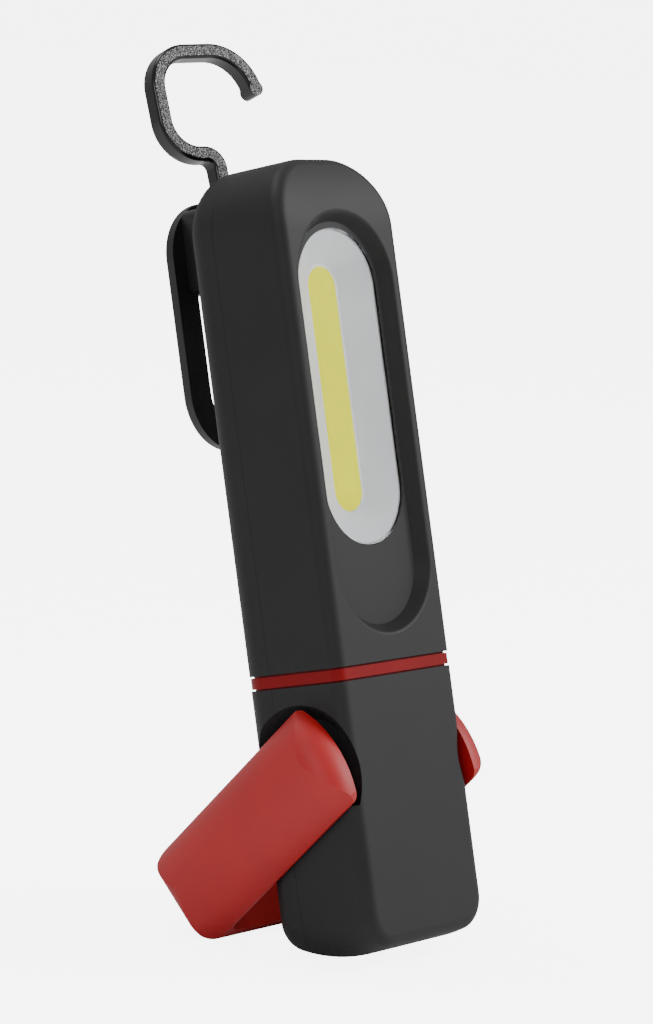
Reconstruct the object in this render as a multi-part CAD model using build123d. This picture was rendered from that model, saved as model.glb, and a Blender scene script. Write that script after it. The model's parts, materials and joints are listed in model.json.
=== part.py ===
from build123d import *
from math import acos, atan2, cos, degrees, hypot, radians, sin
import os

# Rechargeable inspection lamp, built upright around its own long axis and then leant back onto its stand.
# Lamp axes: X left to right, -Y the side the window is on, +Z up the body, z = 0 at the bottom of the base.

# ---- driving dimensions, mm ----
BODY_HEIGHT = 215.0
BODY_WIDTH = 49.0
BODY_DEPTH = 35.5
FRONT_DEPTH = 16.5
WALL = 2.2
TOP_CORNER = 19.0
BOTTOM_CORNER = 9.0
FRONT_EDGE = 3.5
BACK_EDGE = 7.0
SHOULDER_RISE = 20.0
SHOULDER_SETBACK = 5.5
SEAM_SETBACK = 11.0
FIT_GAP = 0.1
MOVING_GAP = 0.35

RING_ABOVE_PIVOT = 25.2
RING_HEIGHT = 3.0
RING_GROOVE = 0.5
RING_INSET = 0.25
RING_NECK = 1.2

RECESS_ABOVE_RING = 7.6
RECESS_BELOW_TOP = 15.0
RECESS_SIDE = 4.7
RECESS_DEPTH = 3.5
RECESS_SLOPE = 2.6
RECESS_WALL = 1.6

WINDOW_SIDE = 3.7
WINDOW_ABOVE = 24.4
WINDOW_BELOW_TOP = 4.4
LENS_THICKNESS = 1.0
LENS_PROUD = 0.15
REFLECTOR_RIM = 0.5
REFLECTOR_DEPTH = 4.9
REFLECTOR_FLOOR = 1.1
REFLECTOR_FLANGE = 1.7
STRIP_EXTRA = 1.8
STRIP_RADIUS = 5.6
LED_BOARD_THICKNESS = 1.4
LED_BOARD_WIDTH = 22.0
LED_BOARD_MARGIN = 2.2
SINK_PLATE = 2.0
SINK_WIDTH = 30.0
SINK_FIN = 1.2
SINK_FINS = 6
BOARD_SETBACK = 15.0
BOARD_THICKNESS = 1.6
BOARD_WIDTH = 34.0
BOARD_BELOW_FLAP = 3.0
BOARD_ABOVE_BUTTON = 22.0

PIVOT_Z = 49.2
PIN_RADIUS = 3.0
PIN_RUNNING_GAP = 0.05
BUSH_RADIUS = 5.5
BUSH_LENGTH = 4.0
POCKET_RADIUS = 19.8
POCKET_TAPER = 4.0
POCKET_DEPTH = 4.5
POCKET_SHELF = 8.2
WASHER_RADIUS = 6.8
WASHER_THICKNESS = 0.8
CLIP_THICKNESS = 0.8

ARM_WIDTH = 30.0
ARM_SIDE_GAP = 0.9
ARM_EDGE = 0.8
ARM_BULGE = 8.6
ARM_ROLL = 6.5
ARM_END_REACH = 15.6
ARM_END_ARC = 32.0
ARM_END_CORNER = 3.0
HUB_RADIUS = 7.0
FOOT_THICKNESS = 5.3
FOOT_CLEARANCE = 0.8
FOOT_EDGE = 3.0
STAND_OUTER_CORNER = 5.5
STAND_INNER_CORNER = 4.0
STAND_SWING = 57.5
MAGNET_RADIUS = 7.5
MAGNET_HEIGHT = 2.5
MAGNET_SPACING = 26.0
FOOT_PLATE_LENGTH = 44.0
FOOT_PLATE_WIDTH = 18.0
FOOT_PLATE_THICKNESS = 1.0

CELL_RADIUS = 9.15
CELL_HEIGHT = 58.0
CELL_BOTTOM = 7.5
CRADLE_WALL = 1.4
CONTACT_THICKNESS = 0.5

BUTTON_ABOVE_FLAP = 20.0
BUTTON_RADIUS = 6.5
BUTTON_PROUD = 0.9
BUTTON_TRAVEL = 0.8
BUTTON_FLANGE = 1.2

FLAP_WIDTH = 15.0
FLAP_ABOVE_RING = 13.6
FLAP_HEIGHT = 17.0
FLAP_THICKNESS = 1.8
FLAP_PROUD = 0.7
TRUNNION_RADIUS = 0.5
TRUNNION_LENGTH = 1.2
SOCKET_WIDTH = 9.0
SOCKET_HEIGHT = 7.0
PORT_BACKING = 2.0

BLOCK_WIDTH = 21.0
BLOCK_BELOW_TOP = 7.5
BLOCK_HEIGHT = 23.5
BLOCK_EDGE = 2.5
CLIP_STANDOFF = 11.8
CLIP_BAR = 8.3
CLIP_THICK = 3.2
CLIP_RADIUS = 15.8
CLIP_EDGE = 1.0
CLIP_LENGTH = 69.3
CLIP_ABOVE_BLOCK = 2.3
SCREW_RADIUS = 1.4
SCREW_HEAD_RADIUS = 2.7
SCREW_HEAD = 1.6
SCREW_BITE = 5.0
BLOCK_SCREW_SPREAD = 14.4
SCREW_BELOW_BLOCK = 14.0
SCREW_Z_LOW = 13.0

STEM_RADIUS = 2.5
STEM_SETBACK = 5.0
NECK_ABOVE_BLOCK = 3.5
COLLAR_RADIUS = 3.6
RETAINER_RADIUS = 3.8
RETAINER_THICKNESS = 1.2
RETAINER_ABOVE_BOTTOM = 5.5
HOOK_BAR = 4.2
HOOK_THICKNESS = 5.6
HOOK_SOFT_EDGE = 0.9
HOOK_RISE = 11.4
HOOK_TOP = 40.8
HOOK_LEFT = 15.0
HOOK_BROW = 15.0
HOOK_RIGHT = 16.8
HOOK_TIP = 29.4
HOOK_NECK_BEND = 4.2
HOOK_HEEL_BEND = 10.0
HOOK_CROWN_BEND = 10.5
HOOK_NOSE_BEND = 13.4
HOOK_TURN = -15.0
HOOK_LEAN = 7.0

# ---- sizes worked out from them ----
HALF_W = BODY_WIDTH / 2
FRONT_Y = -FRONT_DEPTH
BACK_Y = BODY_DEPTH - FRONT_DEPTH
SEAM_Y = BACK_Y - SEAM_SETBACK
RING_BOTTOM = PIVOT_Z + RING_ABOVE_PIVOT
RING_TOP = RING_BOTTOM + RING_HEIGHT
RECESS_BOTTOM = RING_TOP + RECESS_ABOVE_RING
RECESS_TOP = BODY_HEIGHT - RECESS_BELOW_TOP
RECESS_HALF_WIDTH = HALF_W - RECESS_SIDE
RECESS_FLOOR_Y = FRONT_Y + RECESS_DEPTH
WINDOW_RADIUS = RECESS_HALF_WIDTH - WINDOW_SIDE
WINDOW_BOTTOM = RECESS_BOTTOM + WINDOW_ABOVE
WINDOW_TOP = RECESS_TOP - WINDOW_BELOW_TOP
WINDOW_CENTRE_Z = (WINDOW_BOTTOM + WINDOW_TOP) / 2
WINDOW_STRAIGHT = WINDOW_TOP - WINDOW_BOTTOM - 2 * WINDOW_RADIUS
STRIP_STRAIGHT = WINDOW_STRAIGHT + STRIP_EXTRA
LED_BOARD_LENGTH = WINDOW_TOP - WINDOW_BOTTOM - LED_BOARD_MARGIN
LENS_FRONT_Y = RECESS_FLOOR_Y - LENS_PROUD
RIM_Y = LENS_FRONT_Y + LENS_THICKNESS
STRIP_FRONT_Y = RIM_Y + REFLECTOR_DEPTH
LED_BOARD_Y = STRIP_FRONT_Y + REFLECTOR_FLOOR
SINK_Y = LED_BOARD_Y + LED_BOARD_THICKNESS
BOARD_Y = BACK_Y - BOARD_SETBACK
POCKET_FLOOR_X = HALF_W - POCKET_DEPTH
ARM_INNER_X = HALF_W + ARM_SIDE_GAP
ARM_OUTER_X = ARM_INNER_X + ARM_EDGE + ARM_BULGE
HUB_FACE_X = POCKET_FLOOR_X + WASHER_THICKNESS + MOVING_GAP
FOOT_INNER = PIVOT_Z + FOOT_CLEARANCE
FOOT_REACH = FOOT_INNER + FOOT_THICKNESS
FLAP_BOTTOM = RING_TOP + FLAP_ABOVE_RING
FLAP_TOP = FLAP_BOTTOM + FLAP_HEIGHT
FLAP_AXIS_Y = BACK_Y + FLAP_PROUD - 1.0 - FLAP_THICKNESS / 2
FLAP_AXIS_Z = FLAP_TOP - FLAP_THICKNESS / 2
BUTTON_Z = FLAP_TOP + BUTTON_ABOVE_FLAP
BOARD_BOTTOM = FLAP_BOTTOM - BOARD_BELOW_FLAP
BOARD_TOP = BUTTON_Z + BOARD_ABOVE_BUTTON
BLOCK_TOP = BODY_HEIGHT - BLOCK_BELOW_TOP
BLOCK_BOTTOM = BLOCK_TOP - BLOCK_HEIGHT
BLOCK_MIDDLE = (BLOCK_BOTTOM + BLOCK_TOP) / 2
BLOCK_BACK_Y = BACK_Y + CLIP_STANDOFF
CLIP_TOP = BLOCK_TOP + CLIP_ABOVE_BLOCK
CLIP_BOTTOM = CLIP_TOP - CLIP_LENGTH
SCREW_Z_HIGH = BLOCK_BOTTOM - SCREW_BELOW_BLOCK
STEM_Y = BACK_Y + STEM_SETBACK
NECK_Z = BLOCK_TOP + NECK_ABOVE_BLOCK
RETAINER_Z = BLOCK_BOTTOM + RETAINER_ABOVE_BOTTOM
FAR = 300.0


def box_between(x0, x1, y0, y1, z0, z1):
    """A block given by its six faces."""
    centre = Pos((x0 + x1) / 2, (y0 + y1) / 2, (z0 + z1) / 2)
    return centre * Box(x1 - x0, y1 - y0, z1 - z0)


def rod_x(radius, x0, x1, y=0.0, z=PIVOT_Z):
    """A round bar along X."""
    return Pos((x0 + x1) / 2, y, z) * Rot(0, 90, 0) * Cylinder(radius, x1 - x0)


def rod_y(radius, y0, y1, x=0.0, z=0.0):
    """A round bar along Y."""
    return Pos(x, (y0 + y1) / 2, z) * Rot(90, 0, 0) * Cylinder(radius, y1 - y0)


def rod_z(radius, z0, z1, x=0.0, y=0.0):
    """A round bar along Z."""
    return Pos(x, y, (z0 + z1) / 2) * Cylinder(radius, z1 - z0)


def upright_slot(radius, straight, z, y):
    """An upright slot-shaped face standing in the plane y, its normal along -Y."""
    outline = SlotOverall(straight + 2 * radius, 2 * radius, rotation=90)
    return Plane(origin=(0, y, z), x_dir=(1, 0, 0), z_dir=(0, -1, 0)) * outline


def slot_block(radius, straight, z, y0, y1):
    """An upright slot-shaped block from y0 back to y1."""
    return extrude(upright_slot(radius, straight, z, y0), amount=-(y1 - y0))


def both_sides(shape):
    """The shape and its mirror image across the middle of the lamp."""
    return [shape, mirror(shape, about=Plane.YZ)]


# ---- housing ----
def body_form(inset):
    """The lamp's outer form, shrunk evenly by inset: round below about the pivot, a soft front shoulder."""
    half_w = HALF_W - inset
    front = FRONT_Y + inset
    back = BACK_Y - inset
    high = BODY_HEIGHT - inset
    outline = make_face(Polyline((-half_w, 0), (half_w, 0), (half_w, high), (-half_w, high), close=True))
    outline = fillet([v for v in outline.vertices() if v.Y > PIVOT_Z], TOP_CORNER - inset)
    form = extrude(Plane.XZ.offset(-back) * outline, amount=back - front)
    below = box_between(-FAR, FAR, -FAR, FAR, -1, PIVOT_Z)
    form -= below - rod_x(PIVOT_Z - inset, -FAR - 1, FAR + 1)
    low_edges = [e for e in form.edges() if e.center().Z < PIVOT_Z / 2 and abs(e.tangent_at(0.5).Y) > 0.8]
    form = fillet(low_edges, BOTTOM_CORNER - inset)
    shoulder_radius = (SHOULDER_RISE**2 + SHOULDER_SETBACK**2) / (2 * SHOULDER_SETBACK)
    shoulder_z = BODY_HEIGHT - SHOULDER_RISE
    shoulder = box_between(-FAR, FAR, FRONT_Y - 1, FRONT_Y + shoulder_radius, shoulder_z, BODY_HEIGHT + 1)
    shoulder -= rod_x(shoulder_radius - inset, -FAR - 1, FAR + 1, FRONT_Y + shoulder_radius, shoulder_z)
    form -= shoulder
    form = fillet([e for e in form.edges() if abs(e.center().Y - back) < 0.001], BACK_EDGE - inset)
    front_edges = [
        e for e in form.edges()
        if e.center().Y < FRONT_Y / 2 and abs(e.tangent_at(0.5).Y) < 0.9
        and not (abs(e.center().Z - shoulder_z) < 0.01 and abs(e.tangent_at(0.5).X) > 0.99)
    ]
    return fillet(front_edges, FRONT_EDGE - inset)


def slab(z0, z1, y0=-FAR, y1=FAR):
    """Everything between two heights, and between two depths."""
    return box_between(-FAR, FAR, y0, y1, z0, z1)


def recess_cut():
    """The long dished recess around the window."""
    straight = RECESS_TOP - RECESS_BOTTOM - 2 * RECESS_HALF_WIDTH
    middle = (RECESS_TOP + RECESS_BOTTOM) / 2
    mouth = upright_slot(RECESS_HALF_WIDTH, straight, middle, FRONT_Y)
    floor = upright_slot(RECESS_HALF_WIDTH - RECESS_SLOPE, straight, middle, RECESS_FLOOR_Y)
    return loft([mouth, floor]) + slot_block(RECESS_HALF_WIDTH, straight, middle, FRONT_Y - 2, FRONT_Y)


def recess_backing():
    """The material that stays behind the recess, one wall thick."""
    straight = RECESS_TOP - RECESS_BOTTOM - 2 * RECESS_HALF_WIDTH
    middle = (RECESS_TOP + RECESS_BOTTOM) / 2
    return slot_block(RECESS_HALF_WIDTH + WALL, straight, middle, FRONT_Y - 2, RECESS_FLOOR_Y + RECESS_WALL)


def front_housing(outer, inner):
    """Front half of the upper body, with the recess and the window opening."""
    shell = outer & slab(RING_TOP + RING_GROOVE, FAR, y1=SEAM_Y)
    floor_z = RING_TOP + RING_GROOVE + WALL
    shell -= (inner & slab(floor_z, FAR)) - recess_backing()
    shell -= recess_cut()
    near_rim = [
        e for e in shell.edges()
        if abs(e.center().Y - FRONT_Y) < 0.6 and abs(e.center().X) < RECESS_HALF_WIDTH + 0.1
        and RECESS_BOTTOM - 0.5 < e.center().Z < RECESS_TOP + 0.5 and e.length < 100
    ]
    shell = fillet(near_rim, 1.2)
    shell -= slot_block(WINDOW_RADIUS + FIT_GAP, WINDOW_STRAIGHT, WINDOW_CENTRE_Z, FRONT_Y, LED_BOARD_Y)
    return shell


def rear_housing(outer, inner):
    """Rear half of the upper body, with the button hole, the port recess and the clip screw holes."""
    shell = outer & slab(RING_TOP + RING_GROOVE, FAR, y0=SEAM_Y)
    floor_z = RING_TOP + RING_GROOVE + WALL
    shell -= inner & slab(floor_z, FAR)
    backing_y = FLAP_AXIS_Y - FLAP_THICKNESS / 2 - PORT_BACKING
    side = FLAP_WIDTH / 2 + TRUNNION_LENGTH + WALL
    backing = box_between(-side, side, backing_y, BACK_Y - WALL / 2, FLAP_BOTTOM - WALL, FLAP_TOP + WALL + 2)
    shell += backing & outer
    shell -= port_recess()
    shell -= rod_y(BUTTON_RADIUS + MOVING_GAP, SEAM_Y, BACK_Y + 1, z=BUTTON_Z)
    for x in block_screw_sides():
        shell -= rod_y(SCREW_RADIUS, SEAM_Y, BACK_Y + 1, x, BLOCK_MIDDLE)
    for x, z in housing_screw_places()[:2]:
        shell -= rod_y(SCREW_HEAD_RADIUS + FIT_GAP, SEAM_Y + 1, BACK_Y + 1, x, z)
    return shell


def port_recess():
    """The hollow that the port flap lies in, its trunnion holes and the hole through to the socket."""
    gap = MOVING_GAP
    floor_y = FLAP_AXIS_Y - FLAP_THICKNESS / 2 - 0.1
    half = FLAP_WIDTH / 2 + gap
    cut = box_between(-half, half, floor_y, BACK_Y + 1, FLAP_BOTTOM - gap, FLAP_TOP + gap)
    reach = FLAP_WIDTH / 2 + TRUNNION_LENGTH + gap
    cut += rod_x(TRUNNION_RADIUS + 0.08, -reach, reach, FLAP_AXIS_Y, FLAP_AXIS_Z)
    wide = SOCKET_WIDTH / 2 + FIT_GAP
    tall = SOCKET_HEIGHT / 2 + FIT_GAP
    middle = (FLAP_BOTTOM + FLAP_AXIS_Z) / 2
    return cut + box_between(-wide, wide, SEAM_Y, floor_y + 1, middle - tall, middle + tall)


def trim_ring(outer):
    """The coloured ring between upper body and base, on a narrower neck that leaves two dark grooves."""
    half = HALF_W - RING_INSET
    rim = box_between(-half, half, FRONT_Y + RING_INSET, BACK_Y - RING_INSET, RING_BOTTOM, RING_TOP)
    rim = fillet([e for e in rim.edges().filter_by(Axis.Z) if e.center().Y < 0], FRONT_EDGE - RING_INSET)
    rim = fillet([e for e in rim.edges().filter_by(Axis.Z) if e.center().Y > 0], BACK_EDGE - RING_INSET)
    neck = body_form(RING_NECK) & slab(RING_BOTTOM - RING_GROOVE, RING_TOP + RING_GROOVE)
    hole = HALF_W - 4 * WALL
    return (rim & outer) + neck - box_between(-hole, hole, -hole / 2, hole / 2, 0, FAR)


def pocket(wall):
    """One side pocket, round above the pivot and narrowing inwards, with a flat shelf below the hub."""
    slope = POCKET_TAPER / POCKET_DEPTH
    floor_radius = POCKET_RADIUS - POCKET_TAPER + wall * (1 - slope)
    room = Cone(floor_radius, floor_radius + slope * FAR, FAR)
    room = Pos(POCKET_FLOOR_X - wall + FAR / 2, 0, PIVOT_Z) * Rot(0, 90, 0) * room
    return room & slab(PIVOT_Z - POCKET_SHELF - wall, FAR)


def base_shell(outer, inner, y0, y1):
    """One half of the base housing, with its share of the two round pockets and the bush holes."""
    shell = outer & slab(-1, RING_BOTTOM - RING_GROOVE, y0, y1)
    hollow = inner & slab(0, RING_BOTTOM - RING_GROOVE - WALL)
    for wall in both_sides(pocket(WALL)):
        hollow -= wall
    shell -= hollow
    for hole in both_sides(pocket(0)):
        shell -= hole
    for hole in both_sides(rod_x(BUSH_RADIUS, 0, HALF_W)):
        shell -= hole
    wires = HALF_W - 5 * WALL
    return shell - box_between(-wires, wires, -wires / 2, wires / 2, RING_BOTTOM - 2 * WALL, FAR)


def base_rear_shell(outer, inner):
    """Rear half of the base, with the two screw holes."""
    shell = base_shell(outer, inner, SEAM_Y, FAR)
    for x, z in housing_screw_places()[2:]:
        shell -= rod_y(SCREW_HEAD_RADIUS + FIT_GAP, SEAM_Y + 1, BACK_Y + 1, x, z)
    return shell


# ---- lamp inside ----
def lens():
    """Clear cover plate set in the window opening."""
    return slot_block(WINDOW_RADIUS, WINDOW_STRAIGHT, WINDOW_CENTRE_Z, LENS_FRONT_Y, RIM_Y)


def reflector():
    """White dish that slopes from the window's rim down to the light strip, with a flange behind the wall."""
    body = slot_block(WINDOW_RADIUS, WINDOW_STRAIGHT, WINDOW_CENTRE_Z, RIM_Y, LED_BOARD_Y)
    flange_y = RECESS_FLOOR_Y + RECESS_WALL
    body += slot_block(
        WINDOW_RADIUS + REFLECTOR_FLANGE, WINDOW_STRAIGHT, WINDOW_CENTRE_Z, flange_y, flange_y + 1.2
    )
    mouth = upright_slot(WINDOW_RADIUS - REFLECTOR_RIM, WINDOW_STRAIGHT, WINDOW_CENTRE_Z, RIM_Y)
    floor = upright_slot(STRIP_RADIUS + 0.8, STRIP_STRAIGHT, WINDOW_CENTRE_Z, STRIP_FRONT_Y)
    body -= loft([mouth, floor])
    return body - slot_block(STRIP_RADIUS + FIT_GAP, STRIP_STRAIGHT, WINDOW_CENTRE_Z, RIM_Y, LED_BOARD_Y)


def led_strip():
    """The long yellow light-emitting strip."""
    return slot_block(STRIP_RADIUS, STRIP_STRAIGHT, WINDOW_CENTRE_Z, STRIP_FRONT_Y, LED_BOARD_Y)


def led_board():
    """Aluminium board that carries the light strip."""
    side = LED_BOARD_WIDTH / 2
    half = LED_BOARD_LENGTH / 2
    return box_between(-side, side, LED_BOARD_Y, SINK_Y, WINDOW_CENTRE_Z - half, WINDOW_CENTRE_Z + half)


def heat_sink():
    """Aluminium plate behind the light board, with upright fins that reach the main board."""
    half = LED_BOARD_LENGTH / 2
    low = WINDOW_CENTRE_Z - half
    high = WINDOW_CENTRE_Z + half
    sink = box_between(-SINK_WIDTH / 2, SINK_WIDTH / 2, SINK_Y, SINK_Y + SINK_PLATE, low, high)
    pitch = (SINK_WIDTH - SINK_FIN) / (SINK_FINS - 1)
    for i in range(SINK_FINS):
        x = -SINK_WIDTH / 2 + i * pitch
        sink += box_between(x, x + SINK_FIN, SINK_Y + SINK_PLATE / 2, BOARD_Y, low, high)
    return sink


def main_board():
    """Circuit board standing behind the heat sink."""
    half = BOARD_WIDTH / 2
    return box_between(-half, half, BOARD_Y, BOARD_Y + BOARD_THICKNESS, BOARD_BOTTOM, BOARD_TOP)


def switch_body():
    """Small square push switch on the board, in line with the button."""
    back = BOARD_Y + BOARD_THICKNESS
    tip = BACK_Y - 6.5
    switch = box_between(-3, 3, back, tip - 1, BUTTON_Z - 3, BUTTON_Z + 3)
    return switch + rod_y(1.6, tip - 1, tip, z=BUTTON_Z)


def charge_socket():
    """Charging socket on the board, open towards the back of the lamp."""
    middle = (FLAP_BOTTOM + FLAP_AXIS_Z) / 2
    mouth_y = FLAP_AXIS_Y - FLAP_THICKNESS / 2 - 0.2
    wide = SOCKET_WIDTH / 2
    tall = SOCKET_HEIGHT / 2
    shell = box_between(-wide, wide, BOARD_Y + BOARD_THICKNESS, mouth_y, middle - tall, middle + tall)
    shell -= box_between(1 - wide, wide - 1, mouth_y - 6, mouth_y + 1, middle - tall + 1, middle + tall - 1)
    return shell + box_between(1.5 - wide, wide - 1.5, mouth_y - 7, mouth_y - 1, middle - 0.6, middle + 0.6)


def battery_cell():
    """Round rechargeable cell standing in the base, with its raised positive end."""
    top = CELL_BOTTOM + CELL_HEIGHT
    return rod_z(CELL_RADIUS, CELL_BOTTOM, top) + rod_z(CELL_RADIUS / 3, top, top + 1)


def battery_cradle():
    """Open cradle around the cell, standing on the inside of the base."""
    outer = CELL_RADIUS + CRADLE_WALL
    cradle = rod_z(outer, CELL_BOTTOM + 4, CELL_BOTTOM + CELL_HEIGHT - 4)
    cradle -= rod_z(CELL_RADIUS + FIT_GAP, 0, FAR)
    return cradle - box_between(-CELL_RADIUS * 0.7, CELL_RADIUS * 0.7, -FAR, 0, 0, FAR)


def battery_contacts():
    """The spring plates at the two ends of the cell."""
    half = CELL_RADIUS * 0.6
    top = CELL_BOTTOM + CELL_HEIGHT + 1
    low = box_between(-half, half, -half, half, CELL_BOTTOM - CONTACT_THICKNESS, CELL_BOTTOM)
    high = box_between(-half, half, -half, half, top, top + CONTACT_THICKNESS)
    return [low, high]


# ---- button and port ----
def power_button():
    """Round push button, held behind the wall by its flange."""
    flange_top = BACK_Y - WALL - 0.1
    button = rod_y(BUTTON_RADIUS, flange_top - BUTTON_FLANGE, BACK_Y + BUTTON_PROUD, z=BUTTON_Z)
    button = fillet(button.edges().sort_by(Axis.Y)[-1], 0.8)
    button += rod_y(BUTTON_RADIUS + 1.4, flange_top - BUTTON_FLANGE, flange_top, z=BUTTON_Z)
    return button + rod_y(2.0, BACK_Y - 6.4 + BUTTON_TRAVEL, flange_top, z=BUTTON_Z)


def port_flap():
    """Rubber flap over the charging socket, turning on two small trunnions along its top edge."""
    half = FLAP_WIDTH / 2
    inner_y = FLAP_AXIS_Y - FLAP_THICKNESS / 2
    outer_y = FLAP_AXIS_Y + FLAP_THICKNESS / 2
    flap = box_between(-half, half, inner_y, outer_y, FLAP_BOTTOM, FLAP_AXIS_Z)
    flap += rod_x(FLAP_THICKNESS / 2, -half, half, FLAP_AXIS_Y, FLAP_AXIS_Z)
    pad = box_between(-half, half, outer_y - 0.1, BACK_Y + FLAP_PROUD, FLAP_BOTTOM, FLAP_AXIS_Z - 2.2)
    pad = fillet([e for e in pad.edges() if e.center().Y > BACK_Y + FLAP_PROUD - 0.01], 0.5)
    flap += pad
    reach = half + TRUNNION_LENGTH
    return flap + rod_x(TRUNNION_RADIUS, -reach, reach, FLAP_AXIS_Y, FLAP_AXIS_Z)


# ---- clip and hook on the back ----
def clip_block():
    """Block on the back that carries the belt clip and the hook's stem."""
    half = BLOCK_WIDTH / 2
    block = box_between(-half, half, BACK_Y, BLOCK_BACK_Y, BLOCK_BOTTOM, BLOCK_TOP)
    block = fillet([e for e in block.edges().filter_by(Axis.Y)], BLOCK_EDGE)
    block -= rod_z(STEM_RADIUS + PIN_RUNNING_GAP, BLOCK_BOTTOM, BLOCK_TOP + 1, y=STEM_Y)
    ledge = RETAINER_Z + RETAINER_THICKNESS + MOVING_GAP
    block -= rod_z(RETAINER_RADIUS + MOVING_GAP, BLOCK_BOTTOM - 1, ledge, y=STEM_Y)
    for x in block_screw_sides():
        block -= rod_y(SCREW_RADIUS, BACK_Y - 1, BACK_Y + SCREW_BITE, x, BLOCK_MIDDLE)
    return block


def block_screw_sides():
    """How far to either side the two screws stand that hold the clip block."""
    return (-BLOCK_SCREW_SPREAD / 2, BLOCK_SCREW_SPREAD / 2)


def clip_screws():
    """Two screws driven from inside the rear housing into the clip block."""
    wall_y = BACK_Y - WALL
    screws = []
    for x in block_screw_sides():
        screw = rod_y(SCREW_RADIUS, wall_y, BACK_Y + SCREW_BITE, x, BLOCK_MIDDLE)
        screws.append(screw + rod_y(SCREW_HEAD_RADIUS, wall_y - SCREW_HEAD, wall_y, x, BLOCK_MIDDLE))
    return screws


def belt_clip():
    """Long slot-shaped loop standing off the back, fixed to the clip block by its upper end."""
    straight = CLIP_TOP - CLIP_BOTTOM - 2 * CLIP_RADIUS
    middle = (CLIP_TOP + CLIP_BOTTOM) / 2
    outer_y = BLOCK_BACK_Y + CLIP_THICK
    loop = slot_block(CLIP_RADIUS, straight, middle, BLOCK_BACK_Y, outer_y)
    loop -= slot_block(CLIP_RADIUS - CLIP_BAR, straight, middle, BLOCK_BACK_Y - 1, outer_y + 1)
    edges = [e for e in loop.edges() if abs(e.center().Y - outer_y) < 0.01]
    loop = fillet(edges, CLIP_EDGE)
    web = box_between(
        -CLIP_RADIUS, CLIP_RADIUS, BLOCK_BACK_Y, BLOCK_BACK_Y + CLIP_THICK - CLIP_EDGE, BLOCK_BOTTOM, BLOCK_TOP
    )
    return loop + (web & slot_block(CLIP_RADIUS - CLIP_BAR / 2, straight, middle, BLOCK_BACK_Y, FAR))


def hook_path():
    """The middle line of the hook in its own plane, from the neck round to the open tip, bends rounded."""
    points = [
        (0, -1), (0, HOOK_RISE), (-HOOK_LEFT, HOOK_RISE),
        (-HOOK_LEFT, HOOK_TOP), (HOOK_BROW, HOOK_TOP), (HOOK_RIGHT, HOOK_TIP),
    ]
    return FilletPolyline(*points, radius=[HOOK_NECK_BEND, HOOK_HEEL_BEND, HOOK_CROWN_BEND, HOOK_NOSE_BEND])


def swivel_hook():
    """Hook and its stem: the bent flat bar above, the round stem and collar in the clip block below."""
    path = Plane.XZ * hook_path()
    section = Plane(origin=path @ 0, x_dir=(1, 0, 0), z_dir=path % 0)
    bar = sweep(section * RectangleRounded(HOOK_BAR, HOOK_THICKNESS, HOOK_SOFT_EDGE), path=path)
    tip = path @ 1
    cap = rod_y(HOOK_BAR / 2, -HOOK_THICKNESS / 2, HOOK_THICKNESS / 2, tip.X, tip.Z)
    bar += cap
    bar = Pos(0, STEM_Y, NECK_Z) * Rot(0, 0, HOOK_TURN) * Rot(-HOOK_LEAN, 0, 0) * bar
    stem = rod_z(STEM_RADIUS, RETAINER_Z - 1.5, NECK_Z + 1, y=STEM_Y)
    collar = rod_z(COLLAR_RADIUS, BLOCK_TOP + MOVING_GAP, NECK_Z + 2, y=STEM_Y)
    collar = fillet(collar.edges().sort_by(Axis.Z)[-1], 1.2)
    groove = rod_z(STEM_RADIUS + 1, RETAINER_Z, RETAINER_Z + RETAINER_THICKNESS, y=STEM_Y)
    groove -= rod_z(STEM_RADIUS - 0.6, RETAINER_Z - 1, RETAINER_Z + RETAINER_THICKNESS + 1, y=STEM_Y)
    return bar + stem + collar - groove


def hook_retainer():
    """Ring snapped into the stem's groove, under the ledge inside the clip block."""
    ring = rod_z(RETAINER_RADIUS, RETAINER_Z, RETAINER_Z + RETAINER_THICKNESS, y=STEM_Y)
    return ring - rod_z(STEM_RADIUS - 0.6, 0, FAR, y=STEM_Y)


# ---- stand, in its closed place under the base; swung later ----
def arm_section():
    """Cross-section through both arms: flat sides with a bowed outer face, looking along Z."""
    half = ARM_WIDTH / 2
    edge = ARM_INNER_X + ARM_EDGE
    right = ThreePointArc((edge, -half), (ARM_OUTER_X, 0), (edge, half))
    top = Line((edge, half), (-edge, half))
    left = ThreePointArc((-edge, half), (-ARM_OUTER_X, 0), (-edge, -half))
    bottom = Line((-edge, -half), (edge, -half))
    return make_face([right, top, left, bottom])


def arm_ends():
    """A body turned about an axis across the lamp, which arches and rolls over the near ends of the arms."""
    edge = ARM_INNER_X + ARM_EDGE
    low = ARM_END_ARC - ARM_ROLL
    middle_x = edge + 0.72 * ARM_BULGE
    middle_r = ARM_END_ARC - 0.36 * ARM_ROLL
    outline = [
        Polyline((-ARM_OUTER_X, low), (-ARM_OUTER_X, 0), (ARM_OUTER_X, 0), (ARM_OUTER_X, low)),
        ThreePointArc((ARM_OUTER_X, low), (middle_x, middle_r), (edge, ARM_END_ARC)),
        Line((edge, ARM_END_ARC), (-edge, ARM_END_ARC)),
        ThreePointArc((-edge, ARM_END_ARC), (-middle_x, middle_r), (-ARM_OUTER_X, low)),
    ]
    return Pos(0, 0, PIVOT_Z + ARM_END_REACH - ARM_END_ARC) * revolve(Plane.XZ * make_face(outline), Axis.X)


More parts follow.
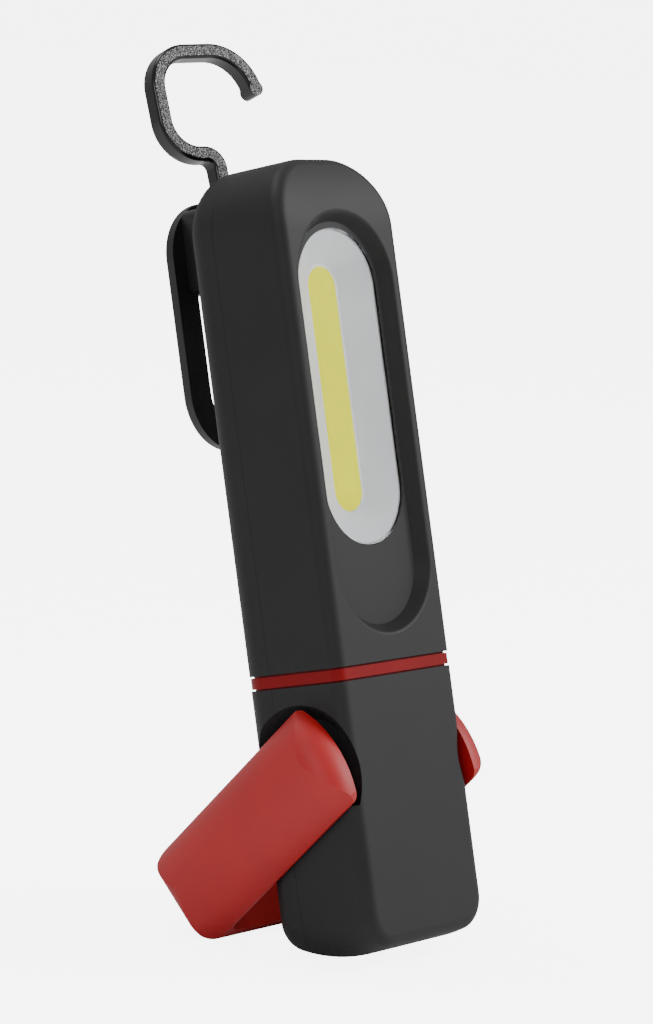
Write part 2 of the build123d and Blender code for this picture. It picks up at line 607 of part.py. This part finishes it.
def stand_form():
    """Solid outer shape of the stand: bowed arms, a rounded foot and arched, rolled-over near ends."""
    low = PIVOT_Z - FOOT_REACH
    high = PIVOT_Z + ARM_END_REACH
    middle = (low + high) / 2
    form = extrude(Plane.XY.offset(low) * arm_section(), amount=high - low)
    front = Plane.XZ * Pos(0, middle) * Rectangle(2 * ARM_OUTER_X, high - low)
    front = fillet([v for v in front.vertices() if v.Z < middle], STAND_OUTER_CORNER)
    form &= extrude(front, amount=ARM_WIDTH, both=True)
    near = Pos(0, high) * Rectangle(ARM_WIDTH, 2 * (high - PIVOT_Z))
    arched = Pos(0, high - ARM_END_ARC) * Circle(ARM_END_ARC) & near
    side = Plane.YZ * (arched + Pos(0, (low + PIVOT_Z) / 2) * Rectangle(ARM_WIDTH, PIVOT_Z - low))
    side = fillet([v for v in side.vertices() if v.Z > PIVOT_Z + ARM_END_CORNER], ARM_END_CORNER)
    side = fillet([v for v in side.vertices() if v.Z < low + 0.1], FOOT_EDGE)
    form &= extrude(side, amount=FAR, both=True)
    return form & (arm_ends() + slab(-FAR, PIVOT_Z))


def stand_bracket():
    """The U-shaped stand: two bowed arms joined by the foot, with a hub inside each arm."""
    bracket = stand_form()
    floor_z = PIVOT_Z - FOOT_INNER
    room = Plane.XZ * Pos(0, (floor_z + FAR) / 2) * Rectangle(2 * ARM_INNER_X, FAR - floor_z)
    room = fillet([v for v in room.vertices() if v.Z < PIVOT_Z], STAND_INNER_CORNER)
    bracket -= extrude(room, amount=ARM_WIDTH, both=True)
    for hub in both_sides(rod_x(HUB_RADIUS, HUB_FACE_X, ARM_INNER_X + 1)):
        bracket += hub
    for hole in both_sides(rod_x(PIN_RADIUS, 0, pin_end_x())):
        bracket -= hole
    low = PIVOT_Z - FOOT_REACH
    bracket -= box_between(
        -FOOT_PLATE_LENGTH / 2, FOOT_PLATE_LENGTH / 2, -FOOT_PLATE_WIDTH / 2, FOOT_PLATE_WIDTH / 2,
        low - 1, low + FOOT_PLATE_THICKNESS,
    )
    for magnet in foot_magnets():
        bracket -= magnet
    return bracket


def foot_magnets():
    """Two round magnets sunk in the foot."""
    low = PIVOT_Z - FOOT_REACH + FOOT_PLATE_THICKNESS
    places = (-MAGNET_SPACING / 2, MAGNET_SPACING / 2)
    return [rod_z(MAGNET_RADIUS, low, low + MAGNET_HEIGHT, x) for x in places]


def foot_plate():
    """Cover plate over the magnets, flush with the foot."""
    low = PIVOT_Z - FOOT_REACH
    return box_between(
        -FOOT_PLATE_LENGTH / 2, FOOT_PLATE_LENGTH / 2, -FOOT_PLATE_WIDTH / 2, FOOT_PLATE_WIDTH / 2,
        low, low + FOOT_PLATE_THICKNESS,
    )


def pin_end_x():
    """How far out the pivot pins reach into the arms."""
    return ARM_INNER_X + 2.5


def pivot_pins():
    """Steel pins fixed in the arms' hubs, running in the bushes, with a groove for the inner clip."""
    inner = POCKET_FLOOR_X - BUSH_LENGTH - CLIP_THICKNESS - 1.2
    pin = rod_x(PIN_RADIUS, inner, pin_end_x())
    clip_x = POCKET_FLOOR_X - BUSH_LENGTH - CLIP_THICKNESS - 0.2
    groove = rod_x(PIN_RADIUS + 1, clip_x, clip_x + CLIP_THICKNESS)
    groove -= rod_x(PIN_RADIUS - 0.6, clip_x - 1, clip_x + CLIP_THICKNESS + 1)
    return both_sides(pin - groove)


def pivot_clips():
    """Rings that keep the pins from pulling out of the bushes."""
    clip_x = POCKET_FLOOR_X - BUSH_LENGTH - CLIP_THICKNESS - 0.2
    ring = rod_x(PIN_RADIUS + 1.8, clip_x, clip_x + CLIP_THICKNESS)
    return both_sides(ring - rod_x(PIN_RADIUS - 0.6, 0, FAR))


def pivot_bushes():
    """Bushes in the base walls that the pins turn in."""
    bush = rod_x(BUSH_RADIUS, POCKET_FLOOR_X - BUSH_LENGTH, POCKET_FLOOR_X)
    return both_sides(bush - rod_x(PIN_RADIUS + PIN_RUNNING_GAP, 0, FAR))


def friction_washers():
    """Washers between the pocket floors and the hubs that keep the stand where it is put."""
    washer = rod_x(WASHER_RADIUS, POCKET_FLOOR_X, POCKET_FLOOR_X + WASHER_THICKNESS)
    return both_sides(washer - rod_x(PIN_RADIUS + PIN_RUNNING_GAP, 0, FAR))


def housing_screw_places():
    """Places of the four screws in the back, two in the upper body and two in the base."""
    side = HALF_W - BACK_EDGE - 3
    low = CELL_RADIUS + CRADLE_WALL + SCREW_HEAD_RADIUS + 1
    return [(-side, SCREW_Z_HIGH), (side, SCREW_Z_HIGH), (-low, SCREW_Z_LOW), (low, SCREW_Z_LOW)]


def housing_screws():
    """Four screws that draw the rear shells onto the front shells."""
    screws = []
    for x, z in housing_screw_places():
        head_y = BACK_Y - 1.0
        screw = rod_y(SCREW_HEAD_RADIUS, head_y - SCREW_HEAD, head_y, x, z)
        screws.append(screw + rod_y(SCREW_RADIUS, SEAM_Y - 3, head_y - SCREW_HEAD, x, z))
    return screws


# ---- placing and writing ----
def foot_corner():
    """Middle of the foot edge's rounding with the stand swung back: how far behind and below the pivot."""
    out = FOOT_REACH - FOOT_EDGE
    across = ARM_WIDTH / 2 - FOOT_EDGE
    angle = radians(STAND_SWING) - atan2(across, out)
    reach = hypot(out, across)
    return reach * sin(angle), reach * cos(angle)


def lean_angle():
    """How far back the lamp leans until one floor touches both the round base and the foot's lower edge."""
    behind, below = foot_corner()
    return degrees(atan2(behind, below) - acos((PIVOT_Z - FOOT_EDGE) / hypot(behind, below)))


def standing_place():
    """The move that leans the lamp back about the pivot axis, the floor staying straight below it."""
    return Pos(0, 0, PIVOT_Z) * Rot(-lean_angle(), 0, 0) * Pos(0, 0, -PIVOT_Z)


def swung(shapes):
    """Shapes of the stand turned back from under the base."""
    turn = Pos(0, 0, PIVOT_Z) * Rot(STAND_SWING, 0, 0) * Pos(0, 0, -PIVOT_Z)
    return [turn * s for s in shapes]


def as_list(shape):
    """A list of solids, whether one or several are given."""
    return shape if isinstance(shape, list) else [shape]


def build():
    """Every piece by name, upright, with the stand swung back."""
    outer = body_form(0)
    inner = body_form(WALL)
    pieces = {
        "front_housing": front_housing(outer, inner),
        "rear_housing": rear_housing(outer, inner),
        "trim_ring": trim_ring(outer),
        "base_front_shell": base_shell(outer, inner, -FAR, SEAM_Y),
        "base_rear_shell": base_rear_shell(outer, inner),
        "lens": lens(),
        "reflector": reflector(),
        "led_strip": led_strip(),
        "led_board": led_board(),
        "heat_sink": heat_sink(),
        "main_board": main_board(),
        "switch_body": switch_body(),
        "charge_socket": charge_socket(),
        "battery_cell": battery_cell(),
        "battery_cradle": battery_cradle(),
        "battery_contacts": battery_contacts(),
        "power_button": power_button(),
        "port_flap": port_flap(),
        "clip_block": clip_block(),
        "clip_screws": clip_screws(),
        "belt_clip": belt_clip(),
        "swivel_hook": swivel_hook(),
        "hook_retainer": hook_retainer(),
        "pivot_bushes": pivot_bushes(),
        "friction_washers": friction_washers(),
        "housing_screws": housing_screws(),
        "stand_bracket": swung([stand_bracket()]),
        "foot_magnets": swung(foot_magnets()),
        "foot_plate": swung([foot_plate()]),
        "pivot_pins": swung(pivot_pins()),
        "pivot_clips": swung(pivot_clips()),
    }
    return {name: as_list(shape) for name, shape in pieces.items()}


def write(pieces):
    """Write each piece with the lamp leant back, the origin on the floor straight below the pivot axis."""
    os.makedirs("parts", exist_ok=True)
    place = standing_place()
    for name, shapes in pieces.items():
        solids = [solid for shape in shapes for solid in (place * shape).solids()]
        whole = solids[0] if len(solids) == 1 else Compound(solids)
        export_step(whole, "parts/" + name + ".step")


write(build())
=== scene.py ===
import json
from math import cos, radians, sin

import bmesh
import bpy
from mathutils import Matrix, Vector

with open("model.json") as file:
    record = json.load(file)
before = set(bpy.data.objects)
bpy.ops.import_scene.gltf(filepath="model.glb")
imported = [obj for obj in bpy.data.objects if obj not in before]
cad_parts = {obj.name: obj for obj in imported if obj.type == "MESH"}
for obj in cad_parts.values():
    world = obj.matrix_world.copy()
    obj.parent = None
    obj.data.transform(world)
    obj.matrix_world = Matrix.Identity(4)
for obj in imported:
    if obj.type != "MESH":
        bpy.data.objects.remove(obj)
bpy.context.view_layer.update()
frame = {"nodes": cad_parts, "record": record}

nodes = frame["nodes"]
joints = {joint["name"]: joint for joint in frame["record"]["behaviour"]["joints"]}

# ---- standing place ----
# The lamp is measured along its own long axis, mm from the bottom of its base, and stands leaning back on
# its stand. The hook's swivel axis gives the lean, and the stand's pivot gives the place.
MM = 0.001
PIVOT_HEIGHT = 49.2
lamp_up = Vector(joints["hook_swivel"]["axis"])
lamp_right = Vector((1, 0, 0))
lamp_back = lamp_up.cross(lamp_right)
lamp_turn = Matrix((lamp_right, lamp_back, lamp_up)).transposed().to_4x4()
pivot = Vector(joints["stand_swing"]["pos_m"])
lamp_place = Matrix.Translation(pivot) @ lamp_turn @ Matrix.Translation((0, 0, -PIVOT_HEIGHT * MM))


# ---- studio ----
# A pale seamless floor and surround, brighter to the camera than to the lamp, and three soft boxes: a broad
# one high at the front right, a small weak one high on the left, and one overhead a little behind. The
# camera is placed from the lamp's own axis: angles in radians, distance in metres, height of its aim in mm.
CAMERA_TURN = 0.87
CAMERA_RISE = -0.01
CAMERA_ROLL = -0.13
CAMERA_DISTANCE = 1.0
CAMERA_LENS = 129.0
CAMERA_SHIFT = (-0.0092, 0.0430)
AIM_HEIGHT = 107.5
SURROUND_LIGHT = 0.55
BACKDROP_LIGHT = 6.0
FLOOR_GLOW = 5.6
FLOOR_REACH = 12.0
LAMP_MIDDLE = Vector((0, 0.03, 0.12))

camera_right = Vector((cos(CAMERA_TURN), -sin(CAMERA_TURN), 0))
camera_out = Vector((-sin(CAMERA_TURN), -cos(CAMERA_TURN), 0))
camera_back = cos(CAMERA_RISE) * camera_out + sin(CAMERA_RISE) * Vector((0, 0, 1))
camera_up = camera_back.cross(camera_right)
rolled_right = cos(CAMERA_ROLL) * camera_right + sin(CAMERA_ROLL) * camera_up
rolled_up = -sin(CAMERA_ROLL) * camera_right + cos(CAMERA_ROLL) * camera_up
aim = Vector((0, 0, AIM_HEIGHT * MM))
camera_frame = Matrix((rolled_right, rolled_up, camera_back)).transposed().to_4x4()
camera_data = bpy.data.cameras.new("camera")
camera_data.lens = CAMERA_LENS
camera_data.sensor_width = 36
camera_data.shift_x, camera_data.shift_y = CAMERA_SHIFT
camera_data.clip_start = 0.05
camera = bpy.data.objects.new("camera", camera_data)
camera.matrix_world = lamp_place @ Matrix.Translation(aim + camera_back * CAMERA_DISTANCE) @ camera_frame
bpy.context.scene.collection.objects.link(camera)
bpy.context.scene.camera = camera


def soft_box(name, place, size, power):
    """A square area light that faces the middle of the lamp."""
    data = bpy.data.lights.new(name, "AREA")
    data.energy = power
    data.size = size
    light = bpy.data.objects.new(name, data)
    light.location = place
    light.rotation_euler = (LAMP_MIDDLE - Vector(place)).to_track_quat("-Z", "Y").to_euler()
    bpy.context.scene.collection.objects.link(light)


soft_box("key_box", place=(0.9, -0.9, 0.9), size=0.8, power=20)
soft_box("side_box", place=(-1.3, -0.5, 0.9), size=0.5, power=5)
soft_box("top_box", place=(-0.2, 0.5, 1.4), size=0.6, power=8)


def glow_for_camera(tree, strength, elsewhere, to_camera):
    """Gives a strength one value as the camera sees it and another as it lights the lamp."""
    rays = tree.nodes.new("ShaderNodeLightPath")
    level = tree.nodes.new("ShaderNodeMapRange")
    level.inputs["To Min"].default_value = elsewhere
    level.inputs["To Max"].default_value = to_camera
    tree.links.new(rays.outputs["Is Camera Ray"], level.inputs["Value"])
    tree.links.new(level.outputs["Result"], strength)


world = bpy.data.worlds.new("surround")
world.use_nodes = True
sky = world.node_tree.nodes["Background"]
sky.inputs["Color"].default_value = (1, 1, 1, 1)
glow_for_camera(world.node_tree, sky.inputs["Strength"], SURROUND_LIGHT, BACKDROP_LIGHT)
bpy.context.scene.world = world

floor_mesh = bpy.data.meshes.new("floor")
floor_form = bmesh.new()
bmesh.ops.create_grid(floor_form, x_segments=1, y_segments=1, size=FLOOR_REACH)
floor_form.to_mesh(floor_mesh)
floor_form.free()
floor = bpy.data.objects.new("floor", floor_mesh)
bpy.context.scene.collection.objects.link(floor)
floor_paint = bpy.data.materials.new("studio_floor")
floor_paint.use_nodes = True
floor_shader = floor_paint.node_tree.nodes["Principled BSDF"]
floor_shader.inputs["Base Color"].default_value = (0.95, 0.95, 0.95, 1)
floor_shader.inputs["Roughness"].default_value = 0.8
floor_shader.inputs["Emission Color"].default_value = (1, 1, 1, 1)
glow_for_camera(floor_paint.node_tree, floor_shader.inputs["Emission Strength"], 0.0, FLOOR_GLOW)
floor_mesh.materials.append(floor_paint)


# ---- housings and base ----
# Two moulded shells above the ring and two below it, in black glass-filled plastic with a soft-touch coat:
# a very fine even grain, a faint mottle of tone and gloss, and a fine line of painted shade where the shells
# meet, standing in for the shadow in the joint between them.
GRAIN_PER_METRE = 2600.0
MOTTLE_PER_METRE = 45.0
GRAIN_DEPTH = 0.00004
GRAIN_STRENGTH = 0.35
SEAM_BACK = 8.0
SEAM_HALF_WIDTH = 0.11
# Painted shade: the colour of the thin dark line painted where the shells meet.
SEAM_SHADE_BLACK = (0.0012, 0.0012, 0.0012, 1)


def new_material(name):
    """An empty node material: its tree, its Principled shader and the object coordinates."""
    material = bpy.data.materials.new(name)
    material.use_nodes = True
    tree = material.node_tree
    shader = tree.nodes["Principled BSDF"]
    coords = tree.nodes.new("ShaderNodeTexCoord")
    return material, tree, shader, coords.outputs["Object"]


def group_socket(tree, name, into, kind="NodeSocketFloat", value=None):
    """One named input or output of a node group."""
    socket = tree.interface.new_socket(name, in_out=into, socket_type=kind)
    if value is not None:
        socket.default_value = value


def multiply(tree, first, second):
    """One mask or height times another."""
    node = tree.nodes.new("ShaderNodeMath")
    node.operation = "MULTIPLY"
    tree.links.new(first, node.inputs[0])
    tree.links.new(second, node.inputs[1])
    return node.outputs["Value"]


def make_grain_group():
    """Moulded grain: a fine pitted height, plus a broad soft mottle for colour and gloss."""
    tree = bpy.data.node_groups.new("moulded_grain", "ShaderNodeTree")
    group_socket(tree, "Vector", "INPUT", "NodeSocketVector")
    group_socket(tree, "Grain per metre", "INPUT", value=GRAIN_PER_METRE)
    group_socket(tree, "Mottle per metre", "INPUT", value=MOTTLE_PER_METRE)
    group_socket(tree, "Height", "OUTPUT")
    group_socket(tree, "Mottle", "OUTPUT")
    entry = tree.nodes.new("NodeGroupInput")
    leave = tree.nodes.new("NodeGroupOutput")
    fine = tree.nodes.new("ShaderNodeTexNoise")
    fine.inputs["Detail"].default_value = 2.0
    fine.inputs["Roughness"].default_value = 0.6
    pits = tree.nodes.new("ShaderNodeTexVoronoi")
    broad = tree.nodes.new("ShaderNodeTexNoise")
    broad.inputs["Detail"].default_value = 4.0
    for node, scale in ((fine, "Grain per metre"), (pits, "Grain per metre"), (broad, "Mottle per metre")):
        tree.links.new(entry.outputs["Vector"], node.inputs["Vector"])
        tree.links.new(entry.outputs[scale], node.inputs["Scale"])
    tree.links.new(multiply(tree, fine.outputs["Fac"], pits.outputs["Distance"]), leave.inputs["Height"])
    tree.links.new(broad.outputs["Fac"], leave.inputs["Mottle"])
    return tree


grain_group = make_grain_group()


def place_grain(tree, coords, grain, mottle):
    """The moulded grain at the given fineness: its height and its mottle."""
    texture = tree.nodes.new("ShaderNodeGroup")
    texture.node_tree = grain_group
    texture.inputs["Grain per metre"].default_value = grain
    texture.inputs["Mottle per metre"].default_value = mottle
    tree.links.new(coords, texture.inputs["Vector"])
    return texture.outputs["Height"], texture.outputs["Mottle"]


def roughen(tree, shader, height, strength, depth):
    """Presses a height into the surface, depth in metres."""
    bump = tree.nodes.new("ShaderNodeBump")
    bump.inputs["Strength"].default_value = strength
    bump.inputs["Distance"].default_value = depth
    tree.links.new(height, bump.inputs["Height"])
    tree.links.new(bump.outputs["Normal"], shader.inputs["Normal"])


def ramp(tree, source, low, high, start=0.35, end=0.65):
    """A colour ramp between two colours driven by a mask."""
    node = tree.nodes.new("ShaderNodeValToRGB")
    node.color_ramp.elements[0].color = (*low, 1)
    node.color_ramp.elements[1].color = (*high, 1)
    node.color_ramp.elements[0].position = start
    node.color_ramp.elements[1].position = end
    tree.links.new(source, node.inputs["Fac"])
    return node.outputs["Color"]


def spread(tree, source, low, high):
    """Maps a mask from 0..1 onto low..high."""
    node = tree.nodes.new("ShaderNodeMapRange")
    node.inputs["To Min"].default_value = low
    node.inputs["To Max"].default_value = high
    tree.links.new(source, node.inputs["Value"])
    return node.outputs["Result"]


def moulded(name, dark, light, gloss, grain=GRAIN_PER_METRE, depth=GRAIN_DEPTH, mottle=MOTTLE_PER_METRE):
    """A finish of two close tones mottled together, with roughness (low, high) and grain pressed in."""
    material, tree, shader, coords = new_material(name)
    height, patches = place_grain(tree, coords, grain, mottle)
    tree.links.new(ramp(tree, patches, dark, light), shader.inputs["Base Color"])
    tree.links.new(spread(tree, patches, *gloss), shader.inputs["Roughness"])
    roughen(tree, shader, height, GRAIN_STRENGTH, depth)
    return material


def set_plain(material, socket, value):
    """Sets a value that is the same all over, on the shader's own socket."""
    material.node_tree.nodes["Principled BSDF"].inputs[socket].default_value = value


def paint_node(node, material):
    """Gives a CAD node its material."""
    mesh = nodes[node].data
    mesh.materials.clear()
    mesh.materials.append(material)


def make_parting_group():
    """Mask: 1 on the thin line where a plane square to a direction cuts the surface, 0 elsewhere."""
    tree = bpy.data.node_groups.new("parting_line", "ShaderNodeTree")
    group_socket(tree, "Vector", "INPUT", "NodeSocketVector")
    group_socket(tree, "Direction", "INPUT", "NodeSocketVector")
    group_socket(tree, "Place", "INPUT")
    group_socket(tree, "Half width", "INPUT", value=0.0001)
    group_socket(tree, "Mask", "OUTPUT")
    entry = tree.nodes.new("NodeGroupInput")
    leave = tree.nodes.new("NodeGroupOutput")
    along = tree.nodes.new("ShaderNodeVectorMath")
    along.operation = "DOT_PRODUCT"
    compare = tree.nodes.new("ShaderNodeMath")
    compare.operation = "COMPARE"
    tree.links.new(entry.outputs["Vector"], along.inputs[0])
    tree.links.new(entry.outputs["Direction"], along.inputs[1])
    tree.links.new(along.outputs["Value"], compare.inputs[0])
    tree.links.new(entry.outputs["Place"], compare.inputs[1])
    tree.links.new(entry.outputs["Half width"], compare.inputs[2])
    tree.links.new(compare.outputs["Value"], leave.inputs["Mask"])
    return tree


def mix_socket(sockets, identifier):
    """A Mix node's socket by identifier: it has one A, B and Result for each kind of value."""
    return next(socket for socket in sockets if socket.identifier == identifier)


def paint_seam_shade(material):
    """Paints shade on the line where front and rear shells meet, SEAM_BACK mm behind the stand's pivot: a
    dark line standing in for the shadow in the joint.
    """
    tree = material.node_tree
    line = tree.nodes.new("ShaderNodeGroup")
    line.node_tree = make_parting_group()
    line.inputs["Direction"].default_value = lamp_back
    line.inputs["Place"].default_value = lamp_back.dot(pivot) + SEAM_BACK * MM
    line.inputs["Half width"].default_value = SEAM_HALF_WIDTH * MM
    tree.links.new(tree.nodes["Texture Coordinate"].outputs["Object"], line.inputs["Vector"])
    base_colour = tree.nodes["Principled BSDF"].inputs["Base Color"]
    mix = tree.nodes.new("ShaderNodeMix")
    mix.data_type = "RGBA"
    mix_socket(mix.inputs, "B_Color").default_value = SEAM_SHADE_BLACK
    tree.links.new(line.outputs["Mask"], mix_socket(mix.inputs, "Factor_Float"))
    tree.links.new(base_colour.links[0].from_socket, mix_socket(mix.inputs, "A_Color"))
    tree.links.new(mix_socket(mix.outputs, "Result_Color"), base_colour)


soft_touch = moulded("soft_touch_black", (0.0105, 0.0105, 0.0115), (0.0125, 0.0125, 0.0135), (0.50, 0.60))
set_plain(soft_touch, "Specular IOR Level", 0.28)
# Painted shade along the joint between the front and rear shells.
paint_seam_shade(soft_touch)
for shell in ("front_housing", "rear_housing", "base_front_shell", "base_rear_shell"):
    paint_node(shell, soft_touch)


# ---- trim ring ----
# The narrow red ring clamped between the upper body and the base, moulded in satin plastic. It stands on a
# narrower neck, which leaves a dark groove above and below it.
ring_red = moulded("ring_red", (0.17, 0.001, 0.002), (0.20, 0.0015, 0.003), (0.38, 0.48), depth=0.00002)
set_plain(ring_red, "Specular IOR Level", 0.15)
paint_node("trim_ring", ring_red)


# ---- window ----
# A clear cover plate over a white dish that slopes down to the yellow light strip on its metal board. The
# strip has a faint painted glow that brightens its yellow. The cover's refraction is kept low, so that the
# dish and the strip show plainly through it.
STRIP_PAINTED_GLOW = 0.3
LENS_BENDING = 1.08
LENS_HAZE = (0.01, 0.05)
HAZE_PER_METRE = 300.0

lens_clear, lens_tree, lens_shader, lens_coords = new_material("lens_clear")
set_plain(lens_clear, "Base Color", (0.96, 0.97, 0.98, 1))
set_plain(lens_clear, "Transmission Weight", 1.0)
set_plain(lens_clear, "IOR", LENS_BENDING)
haze = lens_tree.nodes.new("ShaderNodeTexNoise")
haze.inputs["Scale"].default_value = HAZE_PER_METRE
lens_tree.links.new(lens_coords, haze.inputs["Vector"])
lens_tree.links.new(spread(lens_tree, haze.outputs["Fac"], *LENS_HAZE), lens_shader.inputs["Roughness"])
paint_node("lens", lens_clear)

reflector_white = moulded("reflector_white", (0.74, 0.74, 0.76), (0.80, 0.80, 0.82), (0.30, 0.40),
                          depth=0.00001)
paint_node("reflector", reflector_white)

phosphor = moulded("phosphor_yellow", (0.76, 0.74, 0.0), (0.82, 0.80, 0.0), (0.35, 0.45), depth=0.00002)
set_plain(phosphor, "Specular IOR Level", 0.1)
# Painted glow: a faint emission that makes the strip's yellow brighter.
set_plain(phosphor, "Emission Color", (0.85, 0.85, 0.0, 1))
set_plain(phosphor, "Emission Strength", STRIP_PAINTED_GLOW)
paint_node("led_strip", phosphor)


# ---- inside pieces ----
# Light board, heat sink, circuit board, switch, socket, battery and its fittings, shut inside the shells,
# with the screws, pins, bushes, washers, magnets and foot plate of the shells, clip, hook and stand. Like
# pieces share a finish: bare metal, plated metal, brass, green board, black moulding, cell wrap, pale nylon.
board_metal = moulded("board_metal", (0.55, 0.55, 0.56), (0.66, 0.66, 0.67), (0.30, 0.45), depth=0.00001)
nickel_plate = moulded("nickel_plate", (0.62, 0.60, 0.56), (0.70, 0.68, 0.64), (0.22, 0.35), depth=0.00001)
turned_brass = moulded("turned_brass", (0.60, 0.42, 0.18), (0.70, 0.50, 0.22), (0.25, 0.38), depth=0.00001)
for metal in (board_metal, nickel_plate, turned_brass):
    set_plain(metal, "Metallic", 1.0)
circuit_green = moulded("circuit_green", (0.010, 0.11, 0.035), (0.016, 0.16, 0.05), (0.30, 0.45),
                        mottle=200.0)
moulded_black = moulded("moulded_black", (0.018, 0.018, 0.019), (0.026, 0.026, 0.027), (0.42, 0.55))
cell_wrap = moulded("cell_wrap", (0.02, 0.10, 0.28), (0.03, 0.13, 0.34), (0.18, 0.28), depth=0.00001)
natural_nylon = moulded("natural_nylon", (0.62, 0.61, 0.56), (0.70, 0.69, 0.64), (0.40, 0.50))
fittings = {
    board_metal: ("led_board", "heat_sink", "foot_plate"),
    nickel_plate: ("battery_contacts", "clip_screws", "housing_screws", "hook_retainer", "foot_magnets",
                   "pivot_pins", "pivot_clips"),
    turned_brass: ("pivot_bushes",),
    circuit_green: ("main_board",),
    moulded_black: ("switch_body", "charge_socket", "battery_cradle"),
    cell_wrap: ("battery_cell",),
    natural_nylon: ("friction_washers",),
}
for finish, pieces in fittings.items():
    for piece in pieces:
        paint_node(piece, finish)


# ---- clip block and belt clip ----
# Both are moulded in satin black plastic. The block is screwed to the back of the body, and the clip on it
# is the long loop that slides over a belt.
satin_black = moulded("satin_black", (0.005, 0.005, 0.0055), (0.008, 0.008, 0.0085), (0.36, 0.46))
paint_node("clip_block", satin_black)
paint_node("belt_clip", satin_black)


# ---- swivel hook ----
# Black plastic hook moulded in one with its stem: grained flat faces with painted glints, pale specks that
# stand in for light catching the grain, between smooth rounded rims. At rest it is turned about its stem and
# leans, both in degrees, and its flat faces point that way.
HOOK_TURN = -15.0
HOOK_LEAN = 7.0
HOOK_GRAIN = 1900.0
HOOK_MOTTLE = 120.0
HOOK_GRAIN_DEPTH = 0.00035
GLINTS_PER_METRE = 3400.0
# Black of the hook, and the pale tone of the painted glints on its grain.
HOOK_BLACK_AND_GLINT = ((0.005, 0.005, 0.0055), (0.42, 0.42, 0.42))
GLINT_RANGE = (0.50, 0.66)
HOOK_GLOSS = (0.16, 0.30)
FLAT_FACE_RANGE = (0.93, 0.99)


def make_facing_group():
    """Mask: 1 where the surface faces along the given direction, either way round, 0 elsewhere."""
    tree = bpy.data.node_groups.new("flat_face_mask", "ShaderNodeTree")
    group_socket(tree, "Normal", "INPUT", "NodeSocketVector")
    group_socket(tree, "Direction", "INPUT", "NodeSocketVector")
    group_socket(tree, "Mask", "OUTPUT")
    entry = tree.nodes.new("NodeGroupInput")
    leave = tree.nodes.new("NodeGroupOutput")
    facing = tree.nodes.new("ShaderNodeVectorMath")
    facing.operation = "DOT_PRODUCT"
    size = tree.nodes.new("ShaderNodeMath")
    size.operation = "ABSOLUTE"
    cut = tree.nodes.new("ShaderNodeMapRange")
    cut.inputs["From Min"].default_value = FLAT_FACE_RANGE[0]
    cut.inputs["From Max"].default_value = FLAT_FACE_RANGE[1]
    tree.links.new(entry.outputs["Normal"], facing.inputs[0])
    tree.links.new(entry.outputs["Direction"], facing.inputs[1])
    tree.links.new(facing.outputs["Value"], size.inputs[0])
    tree.links.new(size.outputs["Value"], cut.inputs["Value"])
    tree.links.new(cut.outputs["Result"], leave.inputs["Mask"])
    return tree


def make_hook_black():
    """The hook's plastic: grained, with painted glints and duller on its flat faces, plain and glossy on its
    rims.
    """
    material, tree, shader, coords = new_material("hook_black")
    set_plain(material, "Specular IOR Level", 0.35)
    turned = Matrix.Rotation(radians(HOOK_TURN), 4, "Z") @ Matrix.Rotation(-radians(HOOK_LEAN), 4, "X")
    flat = tree.nodes.new("ShaderNodeGroup")
    flat.node_tree = make_facing_group()
    flat.inputs["Direction"].default_value = (lamp_turn @ turned).to_3x3() @ Vector((0, 1, 0))
    tree.links.new(tree.nodes["Texture Coordinate"].outputs["Normal"], flat.inputs["Normal"])
    height, _ = place_grain(tree, coords, HOOK_GRAIN, HOOK_MOTTLE)
    roughen(tree, shader, multiply(tree, height, flat.outputs["Mask"]), 1.0, HOOK_GRAIN_DEPTH)
    # Painted glints: pale specks on the flat faces standing in for light caught by the grain.
    glint_noise = tree.nodes.new("ShaderNodeTexNoise")
    glint_noise.inputs["Scale"].default_value = GLINTS_PER_METRE
    glint_noise.inputs["Detail"].default_value = 1.0
    tree.links.new(coords, glint_noise.inputs["Vector"])
    glint_mask = multiply(tree, glint_noise.outputs["Fac"], flat.outputs["Mask"])
    tree.links.new(ramp(tree, glint_mask, *HOOK_BLACK_AND_GLINT, *GLINT_RANGE), shader.inputs["Base Color"])
    tree.links.new(spread(tree, flat.outputs["Mask"], *HOOK_GLOSS), shader.inputs["Roughness"])
    return material


paint_node("swivel_hook", make_hook_black())


# ---- stand ----
# Red U-shaped stand moulded in one piece, satin, with a steel cover plate over two magnets in its foot. Its
# arms turn on pins at the sides of the base.
stand_red = moulded("stand_red", (0.34, 0.002, 0.003), (0.39, 0.003, 0.004), (0.46, 0.56), depth=0.00003)
paint_node("stand_bracket", stand_red)


# ---- button and port flap ----
# Soft rubber: a round push button and the flap over the charging socket, both on the back. The button
# presses in, and the flap folds open.
rubber = moulded("soft_rubber", (0.014, 0.014, 0.014), (0.020, 0.020, 0.020), (0.55, 0.68), grain=1800.0)
paint_node("power_button", rubber)
paint_node("port_flap", rubber)
